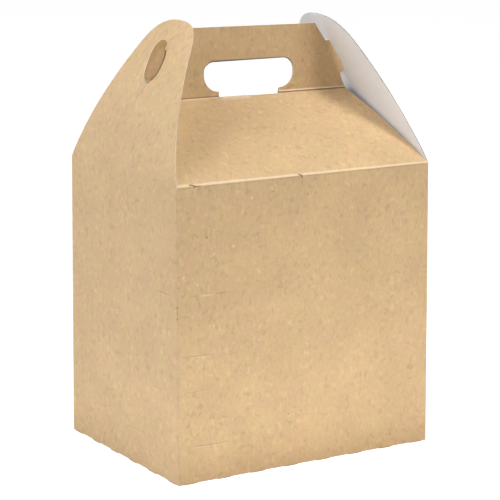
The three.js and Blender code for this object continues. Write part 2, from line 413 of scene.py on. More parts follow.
def inside(outline, points):
    """Which of the points lie inside a closed outline."""
    found = np.zeros(len(points), bool)
    x, y = points.T
    for (ax, ay), (bx, by) in zip(outline, [*outline[1:], outline[0]]):
        if ay == by:
            continue
        crosses = (ay > y) != (by > y)
        found ^= crosses & (x < (bx - ax) * (y - ay) / (by - ay) + ax)
    return found


class Sheet:
    """A flat piece of board with panels, holes and grid lines, meshed and then folded panel by panel."""

    def __init__(self):
        self.points = []
        self.lines = []
        self.panels = []
        self.holes = []

    def line(self, *points):
        """A line that the mesh's edges follow."""
        first = len(self.points)
        self.points += [Vector((float(p[0]), float(p[1]))) for p in points]
        self.lines += [(i, i + 1) for i in range(first, len(self.points) - 1)]

    def rows(self, left, right, heights):
        for height in heights:
            self.line((left, height), (right, height))

    def columns(self, low, high, distances):
        for distance in distances:
            self.line((distance, low), (distance, high))

    def panel(self, outline, fold):
        """A panel with its outline and the function that folds it."""
        self.line(*outline, outline[0])
        self.panels.append(([tuple(p) for p in outline], fold))

    def hole(self, outline):
        self.line(*outline, outline[0])
        self.holes.append([tuple(p) for p in outline])

    def mesh(self, name, materials, marks=None, dents=None):
        """The folded board as a closed mesh: outside, inside and cut edges."""
        found = delaunay_2d_cdt(self.points, self.lines, [], 0, 1e-4, False)
        flat = np.array([tuple(p) for p in found[0]])
        triangles = np.array([tuple(f) for f in found[2]])
        centres = flat[triangles].mean(axis=1)
        kept = np.ones(len(triangles), bool)
        for outline in self.holes:
            kept &= ~inside(outline, centres)
        index = {}
        places, facings, flats = [], [], []
        faces = []
        for outline, fold in self.panels:
            chosen = triangles[kept & inside(outline, centres)]
            used = np.unique(chosen)
            at, facing = fold(flat[used, 0], flat[used, 1])
            number = {}
            for i, vertex in enumerate(used):
                key = (int(vertex), *(int(round(c * 200)) for c in at[i]))
                if key not in index:
                    index[key] = len(places)
                    places.append(at[i])
                    facings.append(facing[i])
                    flats.append(flat[vertex])
                number[vertex] = index[key]
            faces += [[number[i] for i in face] for face in chosen]
        places, facings, flats = (np.array(a) for a in (places, facings, flats))
        if dents:
            places = places + facings * dents(flats)[:, None]
        return board_mesh(name, places, facings, flats, faces, materials, marks)


def board_mesh(name, places, facings, flats, faces, materials, marks):
    """Gives a folded sheet its thickness: kraft outside, white inside, and a cut edge all round."""
    count = len(places)
    outer = settled(places + facings * BOARD / 2)
    inner = settled(places - facings * BOARD / 2)
    rim = {}
    for face in faces:
        for a, b in zip(face, face[1:] + face[:1]):
            if (b, a) in rim:
                del rim[(b, a)]
            else:
                rim[(a, b)] = True
    sides = [list(face) for face in faces]
    liner = [[i + count for i in reversed(face)] for face in faces]
    edges = [[a + count, b + count, b, a] for a, b in rim]
    mesh = bpy.data.meshes.new(name)
    mesh.from_pydata((np.concatenate((outer, inner)) * MM).tolist(), [], sides + liner + edges)
    for material in materials:
        mesh.materials.append(material)
    slots = [0] * len(sides) + [1] * len(liner) + [2] * len(edges)
    mesh.polygons.foreach_set("material_index", slots)
    blank = mesh.uv_layers.new(name="blank")
    corners = np.zeros(len(mesh.loops), int)
    mesh.loops.foreach_get("vertex_index", corners)
    both = np.concatenate((flats, flats)) * MM
    blank.data.foreach_set("uv", both[corners].ravel())
    for mark, values in (marks(flats) if marks else {}).items():
        attribute = mesh.attributes.new(mark, "FLOAT", "POINT")
        attribute.data.foreach_set("value", np.concatenate((values, values)))
    mesh.shade_smooth()
    mesh.set_sharp_from_angle(angle=math.radians(38))
    mesh.update()
    piece = bpy.data.objects.new(name, mesh)
    bpy.context.scene.collection.objects.link(piece)
    return piece


# Materials


def linear(hex_colour):
    """A colour from its sRGB hex value, as linear light with alpha."""
    parts = [int(hex_colour[i : i + 2], 16) / 255 for i in (1, 3, 5)]
    return (*(p / 12.92 if p <= 0.04045 else ((p + 0.055) / 1.055) ** 2.4 for p in parts), 1.0)


def add(tree, kind, inputs=None, **settings):
    """Adds a node with its settings. An input is a plain value, or the output of another node."""
    made = tree.nodes.new(kind)
    for name, value in settings.items():
        setattr(made, name, value)
    for name, value in (inputs or {}).items():
        if isinstance(value, bpy.types.NodeSocket):
            tree.links.new(value, made.inputs[name])
        else:
            made.inputs[name].default_value = value
    return made


def new_material(name):
    material = bpy.data.materials.new(name)
    material.use_nodes = True
    material.node_tree.nodes.clear()
    return material, material.node_tree


def kraft_board():
    """Uncoated kraft paperboard: matt brown, mottled by its fibres, with faint streaks along the grain."""
    material, tree = new_material("kraft_paperboard")
    blank = add(tree, "ShaderNodeUVMap", uv_map="blank").outputs["UV"]

    # Clouds 14 mm across, where the pulp lay thicker: pinker and yellower brown
    clouds = add(
        tree,
        "ShaderNodeTexNoise",
        {"Vector": blank, "Scale": 1 / 0.014, "Detail": 4.0, "Roughness": 0.62},
        noise_dimensions="2D",
    ).outputs["Fac"]
    cloud_share = add(
        tree, "ShaderNodeMapRange", {"Value": clouds, "From Min": 0.36, "From Max": 0.64}
    ).outputs["Result"]
    clouded = add(
        tree,
        "ShaderNodeMix",
        {0: cloud_share, 6: linear("#D5B686"), 7: linear("#D4B187")},
        data_type="RGBA",
    ).outputs[2]

    # Soft light and dark patches 35 mm across
    patches = add(
        tree,
        "ShaderNodeTexNoise",
        {"Vector": blank, "Scale": 1 / 0.035, "Detail": 2.0, "Roughness": 0.5},
        noise_dimensions="2D",
    ).outputs["Fac"]
    patch_light = add(
        tree,
        "ShaderNodeMapRange",
        {"Value": patches, "From Min": 0.3, "From Max": 0.7, "To Min": 0.965, "To Max": 1.035},
    ).outputs["Result"]

    # Fibre streaks along the grain, 1.5 mm wide and 4 mm long, up and down the walls
    along = add(tree, "ShaderNodeMapping", {"Vector": blank, "Scale": (1 / 0.0015, 1 / 0.004, 1.0)}).outputs[0]
    streaks = add(
        tree,
        "ShaderNodeTexNoise",
        {"Vector": along, "Scale": 1.0, "Detail": 2.0, "Roughness": 0.5, "Distortion": 0.4},
        noise_dimensions="2D",
    ).outputs["Fac"]
    streak_light = add(
        tree,
        "ShaderNodeMapRange",
        {"Value": streaks, "From Min": 0.25, "From Max": 0.75, "To Min": 0.95, "To Max": 1.05},
    ).outputs["Result"]

    # Knots of fibre, 2 to 4 mm across and few: paler tufts and darker clots
    knots = add(
        tree,
        "ShaderNodeTexNoise",
        {"Vector": blank, "Scale": 1 / 0.0042, "Detail": 1.5, "Roughness": 0.5, "Distortion": 0.6},
        noise_dimensions="2D",
    ).outputs["Fac"]
    tufts = add(
        tree,
        "ShaderNodeMapRange",
        {"Value": knots, "From Min": 0.60, "From Max": 0.78, "To Min": 0.0, "To Max": 0.12},
    ).outputs["Result"]
    clots = add(
        tree,
        "ShaderNodeMapRange",
        {"Value": knots, "From Min": 0.24, "From Max": 0.40, "To Min": -0.13, "To Max": 0.0},
    ).outputs["Result"]
    knot_light = add(tree, "ShaderNodeMath", {0: tufts, 1: clots}, operation="ADD").outputs[0]
    light = add(tree, "ShaderNodeMath", {0: patch_light, 1: streak_light}, operation="MULTIPLY").outputs[0]
    light = add(tree, "ShaderNodeMath", {0: light, 1: knot_light}, operation="ADD").outputs[0]
    shaded = add(
        tree, "ShaderNodeVectorMath", {0: clouded, "Scale": light}, operation="SCALE"
    ).outputs[0]

    # Worn folds: the brown skin is scuffed and stretched, and the pale core shows through. The same pale colour is
    # also painted highlight on the creases' flanks and beside the ridge crease
    wear_and_highlight_share = add(tree, "ShaderNodeAttribute", attribute_name="fold_wear").outputs["Fac"]
    worn_and_painted_colour = add(
        tree, "ShaderNodeMix", {0: wear_and_highlight_share, 6: shaded, 7: linear("#F3DCBD")}, data_type="RGBA"
    ).outputs[2]

    # Specks of bark, a dark brown; the same brown is painted shade in creases and nicks, under the fold at the top
    # of the wall, in the ridge groove, on the tab beside the left ear and at the foot of the lips
    dark = add(tree, "ShaderNodeAttribute", attribute_name="crease_dark").outputs["Fac"]
    worn_and_painted_colour = add(
        tree, "ShaderNodeMix", {0: dark, 6: worn_and_painted_colour, 7: linear("#6E5334")}, data_type="RGBA"
    ).outputs[2]

    # Grain of the bare fibres, drawn 1.2 mm across so that it shows in the render
    grain = add(
        tree,
        "ShaderNodeTexNoise",
        {"Vector": blank, "Scale": 1 / 0.0012, "Detail": 2.0},
        noise_dimensions="2D",
    ).outputs["Fac"]
    bump = add(
        tree, "ShaderNodeBump", {"Height": grain, "Strength": 0.15, "Distance": 0.00008}
    ).outputs["Normal"]
    surface = add(
        tree,
        "ShaderNodeBsdfPrincipled",
        {"Base Color": worn_and_painted_colour, "Roughness": 0.85, "Normal": bump, "IOR": 1.45, "Specular IOR Level": 0.3},
    ).outputs[0]
    add(tree, "ShaderNodeOutputMaterial", {"Surface": surface})
    return material


def white_liner():
    """Bleached inner ply: matt white with a soft grey mottle."""
    material, tree = new_material("bleached_liner")
    blank = add(tree, "ShaderNodeUVMap", uv_map="blank").outputs["UV"]
    mottle = add(
        tree,
        "ShaderNodeTexNoise",
        {"Vector": blank, "Scale": 1 / 0.004, "Detail": 4.0, "Roughness": 0.6},
        noise_dimensions="2D",
    ).outputs["Fac"]
    colour = add(
        tree, "ShaderNodeMix", {0: mottle, 6: linear("#F0F3F7"), 7: linear("#F6F8FB")}, data_type="RGBA"
    ).outputs[2]
    # Painted shade: brown along the top of the back panel's hand hole, where the front panel shades it
    shade = add(tree, "ShaderNodeAttribute", attribute_name="liner_dark").outputs["Fac"]
    colour = add(
        tree, "ShaderNodeMix", {0: shade, 6: colour, 7: linear("#6E5334")}, data_type="RGBA"
    ).outputs[2]
    surface = add(
        tree,
        "ShaderNodeBsdfPrincipled",
        {"Base Color": colour, "Roughness": 0.75, "IOR": 1.45, "Specular IOR Level": 0.3},
    ).outputs[0]
    add(tree, "ShaderNodeOutputMaterial", {"Surface": surface})
    return material


def cut_edge():
    """Die-cut edge of the board: the cream core between the brown and the white ply."""
    material, tree = new_material("cut_board_edge")
    blank = add(tree, "ShaderNodeUVMap", uv_map="blank").outputs["UV"]
    fibres = add(
        tree,
        "ShaderNodeTexNoise",
        {"Vector": blank, "Scale": 1 / 0.0015, "Detail": 3.0},
        noise_dimensions="2D",
    ).outputs["Fac"]
    colour = add(
        tree, "ShaderNodeMix", {0: fibres, 6: linear("#D9C3A0"), 7: linear("#EFE0C6")}, data_type="RGBA"
    ).outputs[2]
    grey = add(tree, "ShaderNodeAttribute", attribute_name="edge_grey").outputs["Fac"]
    colour = add(
        tree, "ShaderNodeMix", {0: grey, 6: colour, 7: linear("#96948A")}, data_type="RGBA"
    ).outputs[2]
    surface = add(
        tree,
        "ShaderNodeBsdfPrincipled",
        {"Base Color": colour, "Roughness": 0.9, "IOR": 1.45, "Specular IOR Level": 0.2},
    ).outputs[0]
    add(tree, "ShaderNodeOutputMaterial", {"Surface": surface})
    return material


kraft = kraft_board()
board_materials = [kraft, white_liner(), cut_edge()]


# Carton: the walls, the roof and handle panels, the base flaps and the glue flap, all one blank


ROOF_HALF = SIDE_X - UPRIGHT_FOLD


def handle_outline(ridge_v):
    """The roof and handle panel, from the wall's top up and back down, about the panel's middle."""
    rise = [(x, ridge_v + h) for x, h in HANDLE_FOOT[:-1]]
    rise += [(x, ridge_v + h) for x, h in smooth_line(TAB_BELLY)]
    rise += [(x, ridge_v + h) for x, h in TAB_HOOK]
    rise.append((HANDLE_TOP_LENGTH / 2, ridge_v + HANDLE_HEIGHT))
    foot = [(ROOF_HALF, EAR_START_Z), (ROOF_HALF, HINGE_Z), (WIDTH / 2 - ROOF_RELIEF, HINGE_Z + 0.5)]
    side_edge = [tuple(p) for p in bowed_line(foot[-1], rise[0], ROOF_SIDE_HOLLOW, 12)]
    right_side = foot + side_edge + rise
    left_side = [(-x, v) for x, v in reversed(right_side)]
    return right_side + left_side


def hand_hole(ridge_v, sag=(0.0, 0.0)):
    """The hand hole about its panel's middle: wide bottom corners, tighter top ones, a notch to the ridge.

    The sag lowers the hole's top edge, by one amount at the outline's left end and another at its right.
    """
    foot_v = ridge_v + HAND_HOLE_RISE
    low_v = foot_v + HAND_HOLE_FOOT_ROUND
    high_v = foot_v + HAND_HOLE_HEIGHT - HAND_HOLE_TOP_ROUND
    half = HAND_HOLE_LENGTH / 2
    notch_x = HAND_NOTCH_LENGTH / 2
    low_x = half - HAND_HOLE_FOOT_ROUND
    high_x = half - HAND_HOLE_TOP_ROUND
    return [
        (-notch_x, ridge_v - HAND_NOTCH_DEPTH),
        (notch_x, ridge_v - HAND_NOTCH_DEPTH),
        (notch_x, foot_v),
        *arc_line((low_x, low_v), HAND_HOLE_FOOT_ROUND, -1, 0),
        *arc_line((high_x, high_v - sag[1]), HAND_HOLE_TOP_ROUND, 0, 1),
        *arc_line((-high_x, high_v - sag[0]), HAND_HOLE_TOP_ROUND, 1, 2),
        *arc_line((-low_x, low_v), HAND_HOLE_FOOT_ROUND, 2, 3),
        (-notch_x, foot_v),
    ]


def moved(outline, distance):
    return [(x + distance, v) for x, v in outline]


def flap_outline(middle, half_length, reach, taper, profile):
    """A base flap below its wall, about the wall's middle."""
    low = profile.distance[0] + 0.01
    return [
        (middle - half_length, FEET_Z),
        (middle - half_length + taper, low),
        (middle + half_length - taper, low),
        (middle + half_length, FEET_Z),
    ]


blank = Sheet()
plan_end = plan.distance[-1]
plan_fold = lambda profile: (lambda s, v: folded(s, v, profile))

# Walls between the base folds and the foot of the ears
glue_start = fold_ends[3]
blank.panel(
    [(0, FEET_Z), (fold_ends[3], FEET_Z), (fold_ends[3], EAR_START_Z), (0, EAR_START_Z)],
    plan_fold(bare_wall),
)
blank.panel(
    [
        (glue_start, FEET_Z),
        (plan_end, FEET_Z + GLUE_FLAP_TAPER),
        (plan_end, EAR_START_Z - GLUE_FLAP_TAPER),
        (glue_start, EAR_START_Z),
    ],
    plan_fold(bare_wall),
)

# Roof and handle panels, each with its half of the hand hole
blank.panel(moved(handle_outline(RIDGE_V), FRONT_S), roofed(front_profile, FRONT_S, 1))
blank.panel(moved(handle_outline(BACK_RIDGE_V), BACK_S), roofed(back_profile, BACK_S, -1))
blank.hole(moved(hand_hole(RIDGE_V), FRONT_S))
blank.hole(moved(hand_hole(BACK_RIDGE_V, BACK_HOLE_SAG[::-1]), BACK_S))

# Base flaps
front_half = SIDE_X - UPRIGHT_FOLD - FRONT_FLAP_PLAY
side_half = END_Y - UPRIGHT_FOLD - SIDE_FLAP_PLAY
blank.panel(
    flap_outline(FRONT_S, front_half, CLOSING_FLAP_REACH, CLOSING_FLAP_TAPER, front_profile),
    plan_fold(front_profile),
)
blank.panel(
    flap_outline(BACK_S, front_half, MAIN_FLAP_REACH, 0.4, back_profile),
    plan_fold(back_profile),
)
for middle in (RIGHT_S, LEFT_S):
    blank.panel(
        flap_outline(middle, side_half, SIDE_FLAP_REACH, SIDE_FLAP_TAPER, side_profile),
        plan_fold(side_profile),
    )

# Corners of the walls between the flaps, down to the table, and between roof and ears, up to the folds
FOOT_CLEARANCE = 0.3
corner_spans = [
    (LEFT_S + side_half, FRONT_S - front_half),
    (FRONT_S + front_half, RIGHT_S - side_half),
    (RIGHT_S + side_half, BACK_S - front_half),
    (BACK_S + front_half, fold_ends[3]),
    (0, LEFT_S - side_half),
]
for start, end in corner_spans:
    blank.panel(
        [(start, FOOT_CLEARANCE), (end, FOOT_CLEARANCE), (end, FEET_Z), (start, FEET_Z)],
        plan_fold(bare_wall),
    )
ear_half = DEPTH / 2 - BOARD - EAR_END_CLEARANCE
roof_half = ROOF_HALF
NIB_TOP = HINGE_Z + BOARD / 2
top_spans = [
    (LEFT_S + ear_half, FRONT_S - roof_half),
    (FRONT_S + roof_half, RIGHT_S - ear_half),
    (RIGHT_S + ear_half, BACK_S - roof_half),
    (BACK_S + roof_half, fold_ends[3]),
    (0, LEFT_S - ear_half),
]
for start, end in top_spans:
    blank.panel(
        [(start, EAR_START_Z), (end, EAR_START_Z), (end, NIB_TOP), (start, NIB_TOP)],
        plan_fold(bare_wall),
    )

# Grid lines: along every fold's arc, and a plain grid over the panels
wall_rows = list(np.arange(FEET_Z + GRID, EAR_START_Z - 1, GRID))
blank.rows(-1, plan_end + 1, wall_rows)
low_v = min(front_profile.distance[0], back_profile.distance[0], side_profile.distance[0]) - 1
high_v = front_profile.distance[-1] + 1
for start, end in zip(fold_starts, fold_ends):
    blank.columns(FOOT_CLEARANCE - 1, HINGE_Z + 1, np.linspace(start, end, FOLD_STEPS + 1))
for middle, half in ((FRONT_S, front_half), (RIGHT_S, side_half), (BACK_S, front_half), (LEFT_S, side_half)):
    count = int(half * 2 / GRID)
    blank.columns(low_v, high_v, middle + np.linspace(-half, half, count + 1)[1:-1])
for middle, half, profile in (
    (FRONT_S, roof_half, front_profile),
    (BACK_S, roof_half, back_profile),
    (RIGHT_S, side_half, side_profile),
    (LEFT_S, side_half, side_profile),
):
    at_folds = [d for d in profile.distance[1:-1] if not FEET_Z < d < EAR_START_Z]
    blank.rows(middle - half - 0.2, middle + half + 0.2, at_folds)
for middle, ridge_v in ((FRONT_S, RIDGE_V), (BACK_S, BACK_RIDGE_V)):
    blank.rows(middle - 86, middle + 86, ridge_v + np.arange(4, HANDLE_HEIGHT, 4.0))


# Marks of handling. Creases: ends (along the blank, height), how dark each dent's painted shade is and how pale the
# painted highlight beside it is
def front(x):
    return FRONT_S + x


def left(y):
    return LEFT_S - y


creases = [
    ((front(-95.5), 129.0), (front(-84.0), 128.9), 0.3, 0.0),
    ((front(-85.5), 128.8), (front(-73.0), 128.6), 0.0, 0.9),
    ((front(-73.5), 129.0), (front(-63.0), 128.6), 0.8, 0.15),
    ((front(-100.0), 88.5), (front(-88.0), 88.1), 0.35, 0.0),
    ((front(-93.0), 88.3), (front(-74.4), 87.7), 0.6, 0.3),
    ((front(-96.9), 63.2), (front(-75.3), 64.2), 0.3, 0.15),
    ((front(-92.6), 25.7), (front(-62.1), 25.1), 0.65, 0.4),
    ((left(-48.4), 129.2), (left(-69.0), 129.1), 0.75, 0.35),
    ((left(12.7), 60.6), (left(-6.0), 61.0), 0.2, 0.3),
    ((left(-9.0), 61.2), (left(-30.0), 61.5), 0.15, 0.35),
    ((left(-38.0), 61.6), (left(-69.3), 61.9), 0.2, 0.15),
    ((left(-5.8), 24.4), (left(-30.7), 24.9), 0.35, 0.2),
    ((left(38.5), 154.2), (left(33.0), 152.6), 0.55, 0.3),
    ((front(-101.0), 143.4), (front(-98.0), 138.1), 0.4, 0.2),
]
CREASE_DEPTH = 0.12
CREASE_ROWS = (-1.4, -0.9, -0.55, -0.28, 0.0, 0.28, 0.55, 0.9, 1.4)
for start, end, _, _ in creases:
    steps = max(3, round(abs(end[0] - start[0]) / 2.5))
    for row in CREASE_ROWS:
        row_s = np.linspace(start[0], end[0], steps)
        row_v = np.linspace(start[1], end[1], steps) + row
        blank.line(*zip(row_s, row_v))

# Dark specks of bark in the pulp, and pale flecks (negative): place on the blank, radius, strength
specks = [
    ((front(-78.9), 167.8), 0.55, 0.9),
    ((front(-49.1), 181.0), 0.5, 0.6),
    ((front(-27.2), 193.9), 0.5, 0.75),
    ((front(0.4), 189.8), 0.5, 0.65),
    ((front(28.0), 171.8), 0.6, 0.55),
    ((front(-15.1), 37.2), 0.5, 0.7),
    ((front(-5.2), 38.4), 0.55, 0.6),
    ((front(-6.0), 101.8), 0.5, 0.4),
    ((front(-58.6), 159.8), 0.8, -0.6),
    ((front(-44.0), 191.0), 0.9, -0.5),
    ((front(-73.5), 156.1), 0.7, -0.6),
    ((front(-96.7), 142.5), 0.6, -0.7),
    ((front(-86.2), 136.5), 0.7, -0.6),
    ((front(-73.7), 107.1), 0.7, -0.5),
    ((front(-101.3), 122.6), 0.45, 0.7),
    ((front(-101.3), 119.0), 0.4, 0.5),
    ((front(-101.3), 114.9), 0.45, 0.6),
    ((front(-91.6), HINGE_Z + 1.6), 0.5, -0.9),
    ((front(-87.0), HINGE_Z - 1.2), 0.5, -0.8),
    ((front(-3.0), HINGE_Z - 0.6), 0.5, -1.0),
]
for (s, v), radius, _ in specks:
    for size in (0.35, 1.0, 1.6):
        ring = arc_line((s, v), radius * size, 0, 4, 6)
        blank.line(*ring)

# Nicks in the fold between front wall and roof: painted shade stands for their dark inside, with no cut made
TOP_NICKS = [
    [(-91.0, 1.3), (-89.6, 1.1), (-88.5, 0.5), (-87.8, -0.3)],
    [(-6.1, 1.1), (-5.0, 0.3), (-4.2, -0.9)],
]
top_nicks = [[(front(x), HINGE_Z + up) for x, up in nick] for nick in TOP_NICKS]
for nick in top_nicks:
    for aside in (-0.9, -0.5, -0.2, 0.0, 0.2, 0.5, 0.9):
        blank.line(*((s + aside * 0.5, v + aside) for s, v in nick))

# Dense rows along the fold between wall and roof, whose rubbed line has a crisp lower edge
for middle in (FRONT_S, BACK_S):
    blank.rows(middle - roof_half, middle + roof_half, HINGE_Z + np.arange(-1.25, 3.6, 0.25))

# A line of painted shade on the tab that comes through the left ear's hole, just inside the ear's edge: x and rise
# over the ridge
TAB_SHADE_LINE = [
    (-66.9, 34.6),
    (-67.2, 31.8),
    (-68.4, 28.5),
    (-70.1, 25.2),
    (-72.1, 21.8),
    (-74.2, 18.6),
    (-76.2, 16.4),
    (-78.0, 15.3),
]
tab_shade_line = [(front(x), RIDGE_V + rise) for x, rise in TAB_SHADE_LINE]
for aside in (-1.0, -0.6, -0.3, 0.0, 0.3, 0.6, 1.0):
    blank.line(*((s + aside, v) for s, v in tab_shade_line))

# Dense rows along the crease between roof and handle, for its painted shade and painted highlight lines
RIDGE_ROWS = np.arange(-2.2, 2.3, 0.22)
for middle, ridge_v in ((FRONT_S, RIDGE_V), (BACK_S, BACK_RIDGE_V)):
    for row in RIDGE_ROWS:
        for side_start, side_end in ((-86, -HAND_NOTCH_LENGTH / 2), (HAND_NOTCH_LENGTH / 2, 86)):
            blank.line(*((middle + x, ridge_v + row) for x in np.linspace(side_start, side_end, 12)))


def off_crease(flats, start, end):
    """How far each point lies over a crease, and how near it is to the crease's stretch, from 0 to 1."""
    start, end = np.array(start), np.array(end)
    way = end - start
    length = np.linalg.norm(way)
    way = way / length * np.sign(way[0])
    first = start if end[0] > start[0] else end
    along = (flats - first) @ way / length
    over = (flats - first) @ np.array((-way[1], way[0]))
    return over, np.clip(along * 5, 0, 1) * np.clip((1 - along) * 5, 0, 1)


def line_at(distance, width):
    """Strength of a thin soft line: 1 on the line, falling off with the distance from it."""
    return np.exp(-((distance / width) ** 2))


RIDGE_BEAD = 0.7  # the board beside the crease bulges by this much: above it right of the hole, below it left


def beside_ridge(s, middle, way):
    """How far over the crease the bead lies on each side of the hand hole."""
    return np.where((s - middle) * way > 0, 1.0, -1.0)


def distance_to(line, flats):
    """How far each point lies from a line of points."""
    nearest = np.full(len(flats), 1e9)
    for start, end in zip(line, line[1:]):
        start, way = np.array(start), np.array(end) - np.array(start)
        share = np.clip((flats - start) @ way / (way @ way), 0, 1)
        nearest = np.minimum(nearest, np.linalg.norm(flats - start - share[:, None] * way, axis=1))
    return nearest


def carton_dents(flats):
    """The shallow dents of the creases, and the pressed groove between roof and handle."""
    dent = np.zeros(len(flats))
    for start, end, dark, pale in creases:
        over, near = off_crease(flats, start, end)
        dent -= CREASE_DEPTH * (dark - 0.5 * pale) * near * line_at(over, 0.5)
    s, v = flats.T
    for middle, ridge_v, way in ((FRONT_S, RIDGE_V, 1), (BACK_S, BACK_RIDGE_V, -1)):
        on_panel = np.abs(s - middle) < 84
        dent += RIDGE_BEAD * on_panel * line_at(v - ridge_v - beside_ridge(s, middle, way), 0.5)
    return dent


def carton_marks(flats):
    """Where the folds are worn pale, the specks of bark and pale flecks, and the painted shade and painted
    highlight at the creases, nicks, ridge, tab and liner.
    """
    s, v = flats.T
    pale = np.zeros(len(flats))
    dark = np.zeros(len(flats))
    for middle, profile in ((FRONT_S, front_profile), (BACK_S, back_profile)):
        on_panel = np.abs(s - middle) < roof_half + 1
        ripple = 0.2 * np.sin(s / 3.1) + 0.15 * np.sin(s / 7.7 + 1)
        width = 2.3 - 0.9 * np.clip((s - middle) / WIDTH + 0.5, 0, 1) + ripple
        from_below = np.clip((v - HINGE_Z + 0.1) / 0.25, 0, 1)
        from_above = np.clip((HINGE_Z + width - v) / 1.2 + 0.5, 0, 1)
        pale = np.maximum(pale, 0.62 * on_panel * from_below * from_above)
        # Painted shade: a faint dark line on the wall just under the fold
        dark = np.maximum(dark, 0.16 * on_panel * line_at(v - HINGE_Z + 0.7, 0.45))
    # Painted shade in each crease's dent, and painted highlight on the flank just below it
    for start, end, crease_dark, crease_pale in creases:
        over, near = off_crease(flats, start, end)
        dark = np.maximum(dark, 0.6 * crease_dark * near * line_at(over - 0.1, 0.3))
        pale = np.maximum(pale, 0.7 * crease_pale * near * line_at(over + 0.65 * (crease_dark > 0), 0.35))
    for place, radius, strength in specks:
        spot = np.clip(1.6 - np.hypot(s - place[0], v - place[1]) / radius, 0, 1) * abs(strength)
        if strength > 0:
            dark = np.maximum(dark, spot)
        else:
            pale = np.maximum(pale, spot)
    # Painted shade in the groove of the crease between roof and handle, and painted highlight on the bead beside it
    for middle, ridge_v, way in ((FRONT_S, RIDGE_V, 1), (BACK_S, BACK_RIDGE_V, -1)):
        on_panel = np.abs(s - middle) < 84
        pale_side = beside_ridge(s, middle, way)
        groove_shade_offset = np.where(pale_side > 0, -0.1, 0.5)
        dark = np.maximum(dark, 0.85 * on_panel * line_at(v - ridge_v - groove_shade_offset, 0.45))
        pale = np.maximum(pale, 0.95 * on_panel * line_at(v - ridge_v - pale_side, 0.6))
    # Painted shade on the tab beside the edge of the left ear's hole
    dark = np.maximum(dark, 0.85 * line_at(distance_to(tab_shade_line, flats), 0.6))
    # Painted shade in the nicks, in place of the pale wear
    for nick in top_nicks:
        in_nick = line_at(distance_to(nick, flats), 0.6)
        dark = np.maximum(dark, in_nick)
        pale = pale * (1 - in_nick)
    # Painted shade on the back panel's white liner under the hand hole's top edge
    hole_top = BACK_RIDGE_V + HAND_HOLE_RISE + HAND_HOLE_HEIGHT
    liner_dark = 0.75 * (np.abs(s - BACK_S) < 45) * (np.abs(v - hole_top) < 6)
    return {"fold_wear": pale, "crease_dark": dark, "liner_dark": liner_dark}


carton = blank.mesh("carton", board_materials, carton_marks, carton_dents)


# Lips along the base folds: the folds are cut through for part of their length, and the wall's board
# stands down past the fold there


